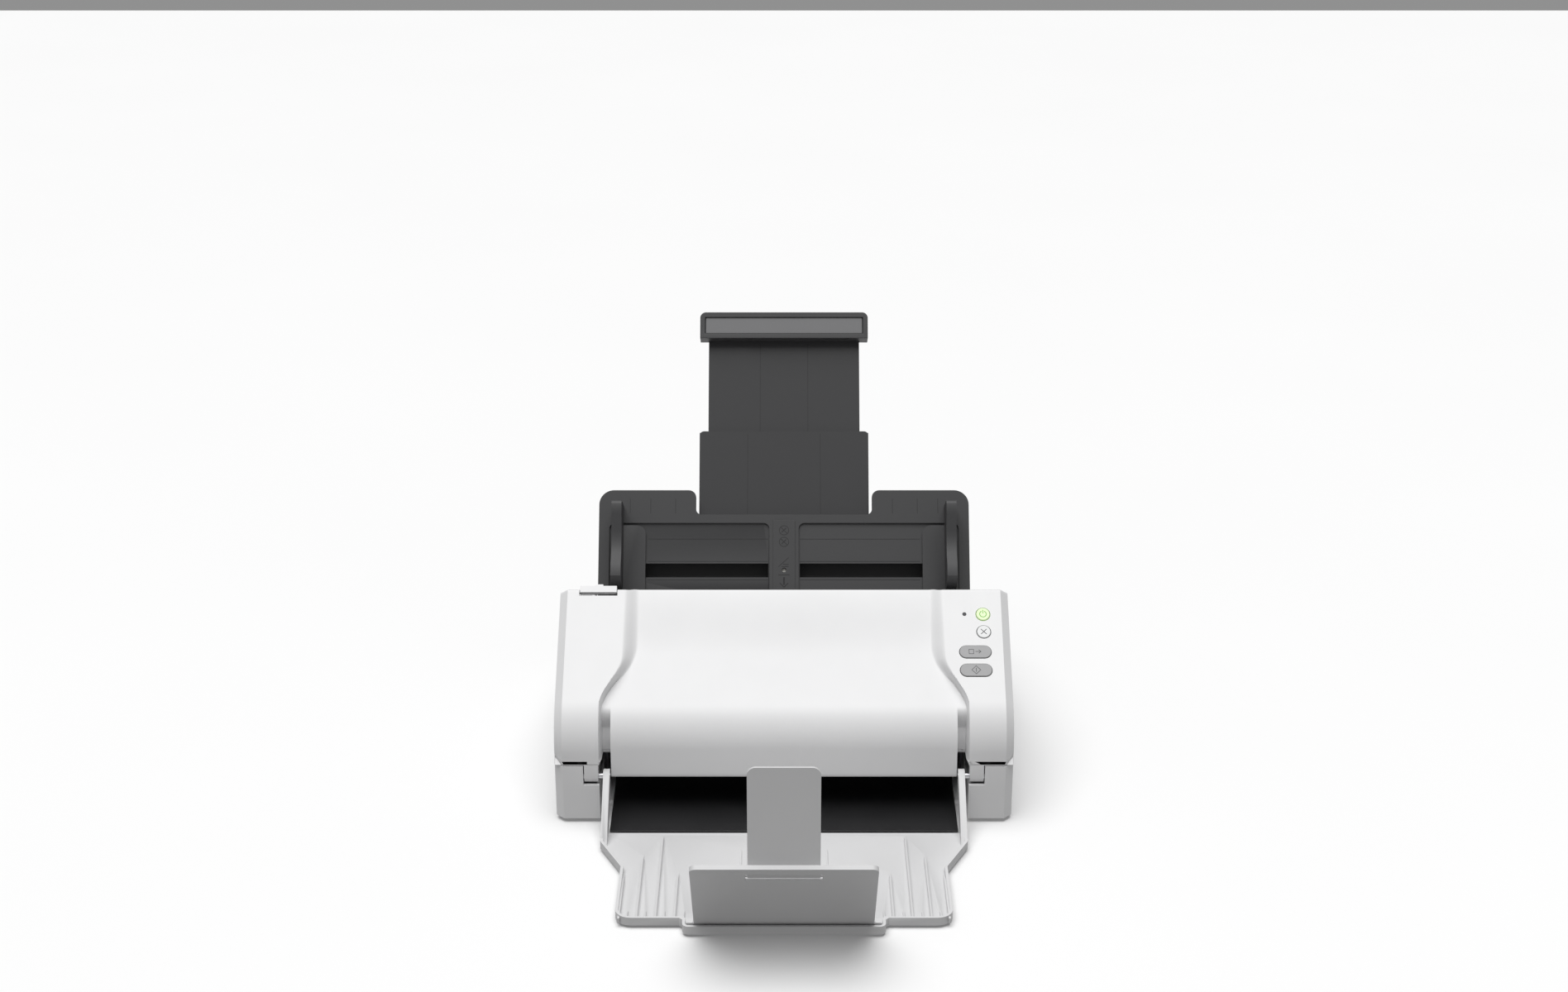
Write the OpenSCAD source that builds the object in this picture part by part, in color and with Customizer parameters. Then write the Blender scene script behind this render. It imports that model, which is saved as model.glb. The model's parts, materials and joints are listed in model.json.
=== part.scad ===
// Sheet fed document scanner: sloped front cover, upright feed tray and fold-out output tray.
// X runs across the paper, +Y to the back, +Z up. The origin is the middle of the footprint.

/* [Body] */
// Width of the whole body
body_w = 299; // [290:1:310]
// Distance from the flat front to the rear wall
body_d = 218; // [214:1:226]
// Height of the top edge of the front cover
front_top_z = 131.7; // [130:0.1:134]
// Slope of the front face, from level
face_angle = 38.3; // [37.5:0.1:39]
// Wall thickness of the casings
wall = 2.5; // [2:0.1:3]

/* [Feed tray] */
// Slope of the feed tray, from level
feed_angle = 57; // [56:0.5:58]
// Width of the feed tray
feed_w = 252.4; // [248:0.4:254]
// Half width of the notch between the tray's wings
notch_x = 60; // [59:0.5:62]

/* [Output tray] */
// Distance from the pivot to the front of the lip
tray_reach = 142; // [138:1:143]
// Length of the paper stop
stop_l = 89; // [80:1:89]
// Length of the flap on the paper stop
flap_l = 71; // [60:1:71]

/* [Rollers] */
// Radius of the feed and eject rollers
roller_r = 7; // [6.5:0.1:7]
// Radius of the pick roller
pick_r = 10; // [9:0.1:10]

/* [Hidden] */
$fn = 48;

e = 0.01;
fit = 0.05;
half_w = body_w / 2;
chamfer = 5.3;
base_z = 3;
seam_z = 41.4;
front_top_y = 78.9;
blend_r = 40;
blend_z = 50;
face_l = 81.2;
recess = 7;
pod_x_low = 120.4;
pod_x_high = 106.7;
cover_x = 113;
// Rear end of the exit chute
chute_back = 72;
// Thickness of the inner walls of the pods
pod_wall = 2.2;
hump_z = 75.5;
rear_slope = 30;
// Seam between the cover and the rear cases
seam_top = [91, 124.6];
// Pivot of the front cover and the output tray
pivot = [4, 32.5];
pin_r = 2;
ear_x = [120.9, 130.2];
// Space left round the hinge ears
ear_gap = 0.6;
arm_x = [113.6, 117.8];
// Top corner of the feed tray, on its front surface
feed_top = [136.3, 173.2];
frame_x = 119;
frame_t = 2;
roller_x = [34, 84];
gear_m = 0.8;
gear_w = 4;
gear_x = -125.6;
shaft_r = 3;
rack_m = 1;
rack_r = 8;
rack_s = -48.4;
// Places along and across the paper path: distance down the feed plane, height above it
pick_at = [-92, -pick_r + 0.6];
feed_at = [-110, -roller_r + 0.6];
eject_at = [-145.2, -roller_r + 0.6];
idler_a_at = [-103.2, -20.8];
idler_b_at = [-127.6, -roller_r + 0.6];
motor_at = [-103.2, -35.2];
sep_r = 9;
pinch_r = 5;
sep_at = [-92, sep_r + 0.9];
feed_pinch_at = [-110, pinch_r + 0.9];
eject_pinch_at = [-145.2, pinch_r + 0.9];
// Hinge of the paper stop and of its flap
stop_at = [-132, 5.9];
stop_lean = 127;
stop_w = 108.6;
stop_t = 2.8;
flap_at = 76.2;
flap_w = 42;
lip_y = pivot[0] - tray_reach;
wing_y = lip_y + 10;
// The footprint's middle, so that the origin is under the centre of the box
stop_front = stop_at[0] + stop_l * cos(stop_lean) - stop_t / 2 * sin(stop_lean);
grip_top = 133.6;
grip_back = 13.6;
rear_y = max(body_d, feed_top[0] + grip_top * cos(feed_angle) + grip_back * sin(feed_angle));
mid_y = (rear_y + stop_front) / 2;

white = [0.94, 0.94, 0.94];
light = [0.82, 0.82, 0.83];
dark = [0.16, 0.16, 0.17];
black = [0.08, 0.08, 0.085];
grey = [0.6, 0.6, 0.61];
steel = [0.7, 0.7, 0.72];
rubber = [0.2, 0.2, 0.2];

// A point on the feed plane: s up the slope, n out of its front
function feed_pt(s, n) = [feed_top[0] + s * cos(feed_angle) - n * sin(feed_angle),
    feed_top[1] + s * sin(feed_angle) + n * cos(feed_angle)];
function arc(c, r, a0, a1, n = 10) =
    [for (i = [0:n]) c + r * [cos(a0 + (a1 - a0) * i / n), sin(a0 + (a1 - a0) * i / n)]];
// The front outline set in by d, from height z0 to the top edge
function front_line(d, z0, more = 0) = concat([[d, z0]],
    arc([blend_r, blend_z], blend_r - d, 180, 90 + face_angle, 12),
    [[blend_r, blend_z] + (blend_r - d) * [cos(90 + face_angle), sin(90 + face_angle)]
        + (face_l + more) * [cos(face_angle), sin(face_angle)]]);
// The slope behind the top edge, set in by d
function back_slope(y, d = 0) = front_top_z - (y - front_top_y) * tan(rear_slope) - d / cos(rear_slope);
// The seam line, shifted back by g
function seam_y(z) = (z - seam_z) * seam_top[0] / (seam_top[1] - seam_z);

// Shapes drawn in the side view (Y, Z) and extruded from x0 to x1
module across(x0, x1) translate([x0, 0, 0]) rotate([90, 0, 90]) linear_extrude(x1 - x0) children();
module both() { children(); mirror([1, 0, 0]) children(); }
module placed() translate([0, -mid_y, 0]) children();
// Local frames: y up the slope and z out of the surface
module on_face(x, d) translate([x, front_top_y - d * cos(face_angle), front_top_z - d * sin(face_angle)])
    rotate([face_angle, 0, 0]) children();
module on_feed(x = 0, s = 0, n = 0) translate([x, feed_pt(s, n)[0], feed_pt(s, n)[1]])
    rotate([feed_angle, 0, 0]) children();
module on_stop() translate([0, stop_at[0], stop_at[1]]) rotate([stop_lean, 0, 0]) children();
// A bar along X from x0 to x1 at a place in the side view
module bar(at, r, x0, x1) translate([x0, at[0], at[1]]) rotate([0, 90, 0]) cylinder(r = r, h = x1 - x0);
module box(x0, x1, y0, y1, z0, z1) translate([x0, y0, z0]) cube([x1 - x0, y1 - y0, z1 - z0]);
// A plate with two rounded upper corners
module tombstone(w, y0, y1, r) polygon(concat([[-w / 2, y0], [w / 2, y0]],
    arc([w / 2 - r, y1 - r], r, 0, 90), arc([-w / 2 + r, y1 - r], r, 90, 180)));
module stadium(w, h) {
    square([w - h, h], center = true);
    for (i = [-1, 1]) translate([i * (w - h) / 2, 0]) circle(h / 2);
}

// Involute gear outline; the teeth are thinned a little for running room
function flank(z, m, r) = let (a = acos(min(1, m * z / 2 * cos(20) / r)))
    82 / z + tan(20) * 180 / PI - 20 - (tan(a) * 180 / PI - a);
function gear_pts(z, m) = let (r0 = m * z / 2 - 1.2 * m, rb = m * z / 2 * cos(20), r1 = m * z / 2 + 0.8 * m,
    radii = [r0, max(r0, rb) + e, (max(r0, rb) + r1) / 2, r1])
    [for (t = [0:z - 1]) each concat(
        [for (r = radii) let (a = 360 * t / z - flank(z, m, max(r, rb))) r * [cos(a), sin(a)]],
        [for (i = [3:-1:0]) let (r = radii[i], a = 360 * t / z + flank(z, m, max(r, rb))) r * [cos(a), sin(a)]])];
module gear_blank(z, m, bore, turn) rotate(turn) difference() {
    polygon(gear_pts(z, m));
    circle(bore);
}
// Angle of a gear's first tooth so that it meshes with its neighbour
function mesh_turn(a, za, turn_a, b, zb) = let (th = atan2(b[1] - a[1], b[0] - a[0]))
    th + 180 - 360 / zb * (0.5 - (th - turn_a) * za / 360);
// A gear in the plane of the side frames, its axis along X
module train_gear(at, z, bore, turn) on_feed(gear_x, at[0], at[1])
    rotate([90, 0, 90]) linear_extrude(gear_w) gear_blank(z, gear_m, bore, turn);

turn_feed = 0;
turn_a = mesh_turn(feed_at, 16, turn_feed, idler_a_at, 24);
turn_b = mesh_turn(feed_at, 16, turn_feed, idler_b_at, 28);
turn_pick = mesh_turn(idler_a_at, 24, turn_a, pick_at, 16);
turn_eject = mesh_turn(idler_b_at, 28, turn_b, eject_at, 16);
turn_motor = mesh_turn(idler_a_at, 24, turn_a, motor_at, 12);

// ---------------------------------------------------------------- base

// Plan outline of the base, set in by d
function plan(d) = [[-half_w + chamfer, d], [half_w - chamfer, d], [half_w - d, chamfer],
    [half_w - d, body_d - 6], [half_w - 6, body_d - d], [-half_w + 6, body_d - d],
    [-half_w + d, body_d - 6], [-half_w + d, chamfer]];

module base_case() color(white) placed() difference() {
    union() {
        difference() {
            translate([0, 0, base_z]) linear_extrude(seam_z - base_z) polygon(plan(0));
            translate([0, 0, base_z + wall]) linear_extrude(seam_z) polygon(plan(wall));
        }
        // Walls beside the exit, and the lugs that hold the hinge pins
        both() box(pod_x_low + 0.4, pod_x_low + 2.4, 0, 44, base_z, 24);
        both() box(131, 138, 0, 12, base_z, seam_z - 1);
    }
    // Exit mouth, with room for the tray arms
    box(-pod_x_low, pod_x_low, -1, 20, 0, seam_z + 1);
    // Opening in the floor that the chute fills
    box(-cover_x - 0.4, cover_x + 0.4, 19, chute_back + 0.4, 0, base_z + wall + 1);
    // Room for the cover's hinge ears
    both() box(ear_x[0] - 1.1, ear_x[1] + ear_gap, -1, 14, pivot[1] - 4.9, seam_z + 1);
    both() bar(pivot, pin_r, 119, 138 + e);
    // Sockets in the rear wall
    for (p = [[-60, 12, 13], [-36, 16, 10], [92, 11, 11]])
        box(p[0] - p[1] / 2, p[0] + p[1] / 2, body_d - 4, body_d + 1, 18, 18 + p[2]);
}

module hinge_pins() color(steel) placed() both() bar(pivot, pin_r, 113.35, 138);

module feet() color(rubber) placed() both()
    for (y = [18, 196]) translate([132, y, 0]) cylinder(r = 7, h = base_z);

module case_screws() color(steel) placed() both() for (y = [70, 150]) translate([140, y, base_z + wall]) {
    cylinder(r = 3, h = 2.2);
}

// Side casing: outline in the side view, set in by d
function cheek(d) = concat(
    [[seam_y(seam_z) + 0.6, seam_z + 0.3], [seam_y(seam_z + 70) + 0.6, seam_z + 70],
     [seam_top[0] + 1.2, back_slope(seam_top[0] + 1.2, d)]],
    arc([body_d - 26, back_slope(body_d - 26, 26) - 1], 26 - d, 90 - rear_slope, 18),
    [[body_d - 0.8 - d, seam_z + 0.3]]);
module rear_case(side) color(white) placed() mirror([side, 0, 0]) difference() {
    hull() {
        across(126.8, half_w - chamfer) polygon(cheek(0));
        across(half_w - 0.1, half_w) polygon(cheek(chamfer - 0.1));
    }
    // Hollow, open towards the cover and below
    across(126.8 + wall, half_w - chamfer) polygon(concat([[-20, 20], [-20, 60], [68, seam_z + 72]],
        [[seam_top[0] - 2, back_slope(seam_top[0] - 2, wall)]],
        [for (i = [3:13]) cheek(wall)[i]], [[body_d - wall, 20]]));
    // Room for the cover's hinge ears
    box(126, ear_x[1] + ear_gap, -1, 8.8, seam_z - 1, 52);
}
module left_rear_case() rear_case(1);
module right_rear_case() rear_case(0);

// Upright rear wall between the cheeks
module back_panel() color(dark) placed() difference() {
    box(-126.4, 126.4, body_d - 3, body_d - 0.4, seam_z + 0.3, hump_z - 0.3);
    for (i = [-9:9]) box(i * 6 - 1.5, i * 6 + 1.5, body_d - 5, body_d + 1, 50, 66);
}

// Black cover over the back of the feed tray
function hump(d) = concat([feed_pt(-81.5, -15.2 - d)], [feed_pt(-14 - d, -15.2 - d)],
    arc([150, 147.5 - d], 6, 100, 45, 4), arc([197, 94 - d], 21 - d, 45, 0), [[body_d - d, hump_z]]);
module rear_hump() color(dark) placed() difference() {
    across(-126.2, 126.2) polygon(hump(0));
    across(-126.2 + wall, 126.2 - wall) polygon(concat(
        [feed_pt(-81.5, -15.2 - wall) - [0, 3]], hump(wall), [[body_d - wall, hump_z - 3]]));
}

// Floor of the exit, curving up behind to the scan frame
module exit_chute() color(black) placed() across(-cover_x, cover_x) polygon(concat(
    [[-19, 3.4], [chute_back, 3.4], [chute_back, 5.4]],
    [[60, 5.4]], arc([31, 34], 27.5, -30, -90), [[4, 5.5], [-19, 4.4]]));

// Metal plates that carry the rollers
module side_frame(x) placed() difference() {
    across(x, x + frame_t) polygon([[62, 5.9], feed_pt(-157, -1.6), feed_pt(-78, -1.6), feed_pt(-78, -12),
        feed_pt(-87, -15), [146, 84], [146, 5.9]]);
    for (at = [pick_at, feed_at, eject_at]) bar(feed_pt(at[0], at[1]), shaft_r + fit, x - 1, x + frame_t + 1);
    for (at = [idler_a_at, idler_b_at]) bar(feed_pt(at[0], at[1]), 1.5, x - 1, x + frame_t + 1);
    bar(feed_pt(motor_at[0], motor_at[1]), 6, x - 1, x + frame_t + 1);
}
module left_side_frame() color(steel) {
    side_frame(-frame_x - frame_t);
    // Studs for the idler gears
    placed() for (at = [idler_a_at, idler_b_at])
        bar(feed_pt(at[0], at[1]), 1.5, gear_x - 0.5, -frame_x);
}
module right_side_frame() color(steel) side_frame(frame_x);

module scan_frame() color(black) placed() difference() {
    union() {
        on_feed() box(-118, 118, -157, -76, -2.5, 0);
        both() on_feed() box(115, 118, -152, -80, -14.8, 0);
    }
    both() {
        on_feed() box(5, 27, -103, -81, -30, 1);
        for (x = roller_x) for (at = [feed_at, eject_at]) on_feed() box(x - 9, x + 9, at[0] - 7.5, at[0] + 7.5, -8, 1);
        for (at = [pick_at, feed_at, eject_at]) bar(feed_pt(at[0], at[1]), shaft_r + 0.6, 110, 119);
    }
    on_feed() box(-109.5, 109.5, -135.2, -120.8, -8, 1);
}
module rear_image_sensor() color(dark) placed() on_feed() box(-109, 109, -134.7, -121.3, -14, -1.4);
module rear_glass() color([0.5, 0.55, 0.6]) placed() on_feed() box(-108.5, 108.5, -134.4, -121.6, -1.3, -0.1);

module main_board() color([0.1, 0.35, 0.2]) placed() difference() {
    box(-105, 105, 150, 211, 9, 10.6);
    both() for (y = [156, 204]) translate([100, y, 0]) cylinder(r = 1.6, h = 20);
}
// A connector shell: open box set in the rear wall
module socket(x, w, h) placed() difference() {
    box(x - w / 2 + 0.2, x + w / 2 - 0.2, body_d - 14, body_d - 0.4, 18.2, 18 + h - 0.2);
    box(x - w / 2 + 1.2, x + w / 2 - 1.2, body_d - 12, body_d + 1, 19.2, 17 + h - 0.2);
}
module usb_port() color(steel) socket(-60, 12, 13);
module usb_host_port() color(steel) socket(-36, 16, 10);
module dc_inlet() color(black) {
    placed() difference() {
        box(86.7, 97.3, body_d - 14, body_d - 0.4, 18.2, 28.8);
        translate([92, body_d - 11, 23.5]) rotate([-90, 0, 0]) cylinder(r = 3.6, h = 14);
    }
    placed() translate([92, body_d - 11.5, 23.5]) rotate([-90, 0, 0]) cylinder(r = 0.9, h = 9);
}

// ---------------------------------------------------------------- drive

module shaft(at, x0, x1) placed() bar(feed_pt(at[0], at[1]), shaft_r, x0, x1);
module tyre(at, r, x, w) placed() difference() {
    bar(feed_pt(at[0], at[1]), r, x - w / 2, x + w / 2);
    bar(feed_pt(at[0], at[1]), shaft_r, x - w, x + w);
}
module drive_shaft(at) color(steel) shaft(at, gear_x - 0.4, frame_x + frame_t + 2);
module feed_shaft() drive_shaft(feed_at);
module pick_shaft() drive_shaft(pick_at);
module eject_shaft() drive_shaft(eject_at);
module feed_rollers() color(rubber) both() for (x = roller_x) tyre(feed_at, roller_r, x, 14);
module eject_rollers() color(rubber) both() for (x = roller_x) tyre(eject_at, roller_r, x, 14);
module pick_rollers() color(rubber) both() tyre(pick_at, pick_r, 16, 18);
module feed_gear() color(light) placed() train_gear(feed_at, 16, shaft_r, turn_feed);
module pick_gear() color(light) placed() train_gear(pick_at, 16, shaft_r, turn_pick);
module eject_gear() color(light) placed() train_gear(eject_at, 16, shaft_r, turn_eject);
module idler_gear_a() color(light) placed() train_gear(idler_a_at, 24, 1.5 + fit, turn_a);
module idler_gear_b() color(light) placed() train_gear(idler_b_at, 28, 1.5 + fit, turn_b);
module motor_pinion() color(steel) placed() {
    train_gear(motor_at, 12, 1, turn_motor);
    bar(feed_pt(motor_at[0], motor_at[1]), 1.5, gear_x, -frame_x + 5);
}
module drive_motor() color(grey) placed() difference() {
    bar(feed_pt(motor_at[0], motor_at[1]), 13, -frame_x + 0.2, -frame_x + 32);
    bar(feed_pt(motor_at[0], motor_at[1]), 1.5 + fit, -frame_x - 1, -frame_x + 6);
}

// ---------------------------------------------------------------- front cover

// Pod outline in the side view, set in by d, closed along the seam
function pod(d) = concat(front_line(d, seam_z + 0.3), [[seam_top[0] - d, back_slope(seam_top[0] - d, d)]]);
// Inner edge of a pod in the front view: straight, then a soft step inwards
function pod_edge(z) = z < 79 ? pod_x_low : z > 101 ? pod_x_high :
    pod_x_low - (pod_x_low - pod_x_high) * (0.5 - 0.5 * cos(180 * (z - 79) / 22));
module pod_front(d) translate([0, 200, 0]) rotate([90, 0, 0]) linear_extrude(260) polygon(concat(
    [for (i = [0:12]) [pod_edge(79 + i * 22 / 12) + d, i == 0 ? 20 : i == 12 ? 140 : 79 + i * 22 / 12]],
    [[half_w + 1, 140], [half_w + 1, 20]]));
// The centre's outline: outer skin, hopper wall, guide face and underside
inner_edge = [feed_pt(-80, 9), feed_pt(-84, 2.6), feed_pt(-98, 1.6), feed_pt(-158, 1.6), [38.4, 29.7]];
module button_holes() {
    on_face(131.9, 18.2) translate([0, 0, -4]) cylinder(r = 5, h = 6);
    on_face(131.9, 31.2) translate([0, 0, -4]) cylinder(r = 5, h = 6);
    for (d = [45.9, 59.2]) on_face(125.8, d) {
        translate([0, 0, -4]) linear_extrude(6) stadium(21.6, 9.7);
        // Room in the pod's side wall for the key's flange
        translate([0, 0, -6]) linear_extrude(3.4) stadium(23.8, 12.2);
    }
    on_face(119.6, 18) translate([0, 0, -4]) cylinder(r = 1.6, h = 6);
}
module front_cover() color(white) placed() difference() {
    union() {
        // Two pods
        both() difference() {
            intersection() {
                hull() {
                    across(100, half_w - chamfer) polygon(pod(0));
                    across(half_w - 0.1, half_w) polygon(pod(chamfer - 0.1));
                }
                pod_front(0);
                // Only what lies above the seam
                across(100, half_w + 1) polygon([[-1, seam_z + 0.3], [0, seam_z + 0.3],
                    [seam_top[0], back_slope(seam_top[0])], [seam_top[0], 140], [-1, 140]]);
            }
            intersection() {
                across(100, half_w - chamfer) polygon(concat([[wall, 20]], front_line(wall, 42),
                    [[seam_top[0] + 8, back_slope(seam_top[0] - 4, wall)], [seam_top[0] + 30, 60]]));
                pod_front(pod_wall);
            }
        }
        // Recessed centre skin
        across(-cover_x, cover_x) polygon(concat(front_line(recess, 29.7, 3.6),
            [feed_pt(-67.5, 15.5)], [feed_pt(-80.4, 11)], [feed_pt(-80.4, 13.2)],
            [for (i = [14:-1:0]) front_line(recess + 2.2, 31.9)[i]], [[38, 31.9], [38, 29.7]]));
        both() across(cover_x - 2.2, cover_x) polygon(concat(front_line(recess, 29.7),
            [feed_pt(-82, 12)], [feed_pt(-154, 8)], [[40, 29.7]]));
        // Step wall behind the soft edge of each pod
        both() intersection() {
            across(100, 125) polygon(concat(front_line(1, seam_z + 0.3), [[seam_top[0] - 3, back_slope(seam_top[0] - 3, 1)]],
                [for (i = [13:-1:0]) front_line(recess + 2.2, seam_z + 0.3)[i]]));
            difference() { pod_front(0); pod_front(pod_wall); }
        }
        // Hinge ears
        both() {
            across(ear_x[0], ear_x[1]) polygon([[0, seam_z + 2], [0, pivot[1]], [8, pivot[1]], [8, 49]]);
            bar(pivot, 4, ear_x[0], ear_x[1]);
        }
    }
    both() bar(pivot, pin_r + fit, ear_x[0] - 1, ear_x[1] + 1);
    button_holes();
    // Opening for the release lever in the left pod
    on_face(-123.75, 0) box(-12.75, 12.75, -4.4, 20, -10.6, 8);
    // Bevelled lower edge of the pods, which dips as the cover opens
    both() across(ear_x[1], half_w + 1) polygon([[0.3, seam_z], [0.3, seam_z + 0.4],
        [2.9, seam_z + 1.4], [9, seam_z + 1.4], [9, seam_z]]);
    // Nothing crosses the hinge pins beside the centre
    both() box(cover_x + 0.1, ear_x[0] - 0.2, -1, 12, 20, seam_z);
}
module cover_frame() color(black) placed() difference() {
    union() {
        across(-110.5, 110.5) polygon(concat(inner_edge, [[38.4, 32.3]],
            [feed_pt(-155.5, 4.2), feed_pt(-98, 4.2), feed_pt(-85, 5.2), feed_pt(-81, 11)]));
        // Cheeks that carry the idle rollers
        both() across(103.6, 106) polygon([feed_pt(-82, 5), feed_pt(-86, 22), feed_pt(-118, 26), feed_pt(-152, 15), feed_pt(-154, 4)]);
    }
    for (at = [sep_at, feed_pinch_at, eject_pinch_at])
        both() bar(feed_pt(at[0], at[1]), 1.5 + fit, 103, 106.4);
    on_feed() box(-28, 28, -103.5, -80.5, 0, 8);
    both() for (x = roller_x) for (at = [feed_at, eject_at])
        on_feed() box(x - 9, x + 9, at[0] - 6.5, at[0] + 6.5, 0, 8);
    on_feed() box(-106, 106, -131.4, -116.6, 0, 8);
}
module front_image_sensor() color(dark) placed() on_feed() box(-103.2, 103.2, -131, -117, 2.9, 15);
module front_glass() color([0.5, 0.55, 0.6]) placed() on_feed() box(-105, 105, -130.7, -117.3, 1.7, 2.8);
module idle_set(at, r, xs, w) color(rubber) placed() {
    bar(feed_pt(at[0], at[1]), 1.5, -105.8, 105.8);
    both() for (x = xs) bar(feed_pt(at[0], at[1]), r, x - w / 2, x + w / 2);
}
module separation_roller() idle_set(sep_at, sep_r, [16], 18);
module feed_pinch_rollers() idle_set(feed_pinch_at, pinch_r, roller_x, 14);
module eject_pinch_rollers() idle_set(eject_pinch_at, pinch_r, roller_x, 14);

module button_board() color([0.1, 0.35, 0.2]) placed() on_face(125, 0) {
    box(-1.4, 14, -66, -10, -11.4, -9.8);
    box(-11, 14, -36, -10, -11.4, -9.8);
}
module status_led() color([0.4, 0.4, 0.42]) placed() on_face(119.6, 18) translate([0, 0, -5]) cylinder(r = 1.5, h = 4.9);
module round_button(d) placed() on_face(131.9, d) {
    translate([0, 0, -2.4]) cylinder(r = 4.4, h = 3);
    translate([0, 0, -4.4]) cylinder(r = 5.6, h = 1.4);
    translate([0, 0, -4]) cylinder(r = 4.4, h = 3);
    translate([0, 0, -7.6]) cylinder(r = 1.6, h = 4);
}
module long_button(d) placed() on_face(125.8, d) {
    translate([0, 0, -2.4]) linear_extrude(3.1) stadium(20.8, 8.9);
    translate([0, 0, -4.4]) linear_extrude(1.4) stadium(23, 11.4);
    translate([0, 0, -4]) linear_extrude(3) stadium(20.8, 8.9);
    translate([0, 0, -7.6]) cylinder(r = 1.6, h = 4);
}
module power_button() color([0.85, 0.93, 0.8]) round_button(18.2);
module stop_button() color(white) round_button(31.2);
module scan_button() color(grey) long_button(45.9);
module start_button() color(grey) long_button(59.2);

// Lever in the top of the left pod; pulling it up frees the cover
module release_lever() color(white) placed() on_face(-123.75, 0) {
    box(-12.2, 12.2, -1.6, 1.6, -4, 0);
    box(-12.2, 12.2, 1.6, 3.2, -10, 0);
    box(-2.5, 2.5, 3.2, 8, -9.6, -7);
}

// ---------------------------------------------------------------- feed tray

// Right half of the plate's outline: outer corner, inner wing corner and the notch
function wing_half() = concat([[feed_w / 2, -75]], arc([feed_w / 2 - 10, -3], 10, 0, 90),
    arc([notch_x + 5, 2], 5, 90, 180, 6), arc([notch_x - 4, -6], 4, 0, -90, 6));
module feed_tray() color(dark) placed() difference() {
    on_feed() union() {
        translate([0, 0, -3]) linear_extrude(3) polygon(concat(wing_half(), flip(wing_half())));
        both() box(feed_w / 2 - 2.5, feed_w / 2, -75, -12, -14.8, -1);
        // Lip under the centre edge, down to the extension
        box(-59, 59, -13, -10, -6.8, -1);
        // Raised spine between the recesses
        box(-7.4, 7.4, -75, -14, -3, 0.6);
    }
    on_feed() {
        // Shallow recesses that the guides slide in
        both() translate([0, 0, -1.5]) linear_extrude(3)
            polygon(concat([[10, -80], [10, -20]], arc([14, -19.8], 4, 180, 90), arc([115, -19.8], 4, 90, 0), [[119, -80]]));
        // Guide slots
        both() box(10.7, 110, -53.2, -43.6, -5, 1);
        translate([0, rack_s, -5]) cylinder(r = 1.6 - fit, h = 6);
    }
}
// Tooth row of a rack, its pitch line on y = 0, from tooth a to tooth b
module rack_teeth(a, b) for (i = [a:b]) translate([(i + 0.5) * PI * rack_m, 0])
    polygon([[-1.3, -1.4], [-0.72 - 0.33, -1.1], [-0.42, 0.8], [0.42, 0.8], [1.05, -1.1], [1.3, -1.4]]);
module guide(dir) placed() on_feed() mirror([dir, 0, 0]) {
    // Wall, foot plate and the neck through the slot
    translate([116.1, 0, 0]) rotate([0, -90, 0]) linear_extrude(6.8) polygon(concat(
        [[-1.2, -64], [-1.2, -17.5], [0.4, -17.5], [0.4, -4]], arc([21, -7], 3, 60, 0, 4),
        [[24, -14], [20, -24], [20, -40], [24, -48], [24, -56], [10, -64]]));
    translate([0, 0, -1.2]) linear_extrude(1.6)
        polygon(concat([[116, -70], [116, -17.5]], arc([100.2, -23.5], 6, 90, 180, 6), [[94.2, -70]]));
    box(97, 107, -52.6, -44.2, -3.6, -1);
}
module left_guide() color(dark) {
    guide(1);
    placed() on_feed() translate([0, 0, -6.4]) linear_extrude(3) {
        translate([-110, rack_s + rack_r + 1.3]) square([120, 5]);
        translate([0, rack_s + rack_r]) mirror([0, 1, 0]) rack_teeth(-30, 2);
        translate([-107, rack_s - 4.2]) square([10, rack_r + 9]);
    }
}
module right_guide() color(dark) {
    guide(0);
    placed() on_feed() translate([0, 0, -6.4]) linear_extrude(3) {
        translate([-10, rack_s - rack_r - 6.3]) square([120, 5]);
        translate([0, rack_s - rack_r]) rack_teeth(-3, 29);
        translate([97, rack_s - rack_r - 5]) square([10, rack_r + 9.2]);
    }
}
module guide_pinion() color(light) placed() on_feed(0, rack_s, -6.4) {
    linear_extrude(2.8) polygon(gear_pts(16, rack_m));
    cylinder(r = 1.6 - 2 * fit, h = 5);
}

// Lower extension: a plate with side rails that hold the upper one
module lower_extension() color(dark) placed() on_feed() {
    translate([0, 0, -10]) linear_extrude(2.7) tombstone(116.4, -23, 50, 3);
    both() box(55.6, 58.2, -23, 49, -14.2, -7.8);
    both() box(53, 58.2, -23, 49, -14.2, -13.2);
}
module upper_extension() color(dark) placed() on_feed()
    box(-52.3, 52.3, 41, 116, -12.9, -10.4);
module extension_grip() color(dark) placed() on_feed() difference() {
    translate([0, 0, -grip_back]) linear_extrude(12) tombstone(116.4, 115, grip_top, 4);
    box(-54.8, 54.8, 118.4, 130, -3.2, 0);
    box(-52.4, 52.4, 113, 116.1, -13, -10.3);
}

// ---------------------------------------------------------------- output tray

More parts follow.
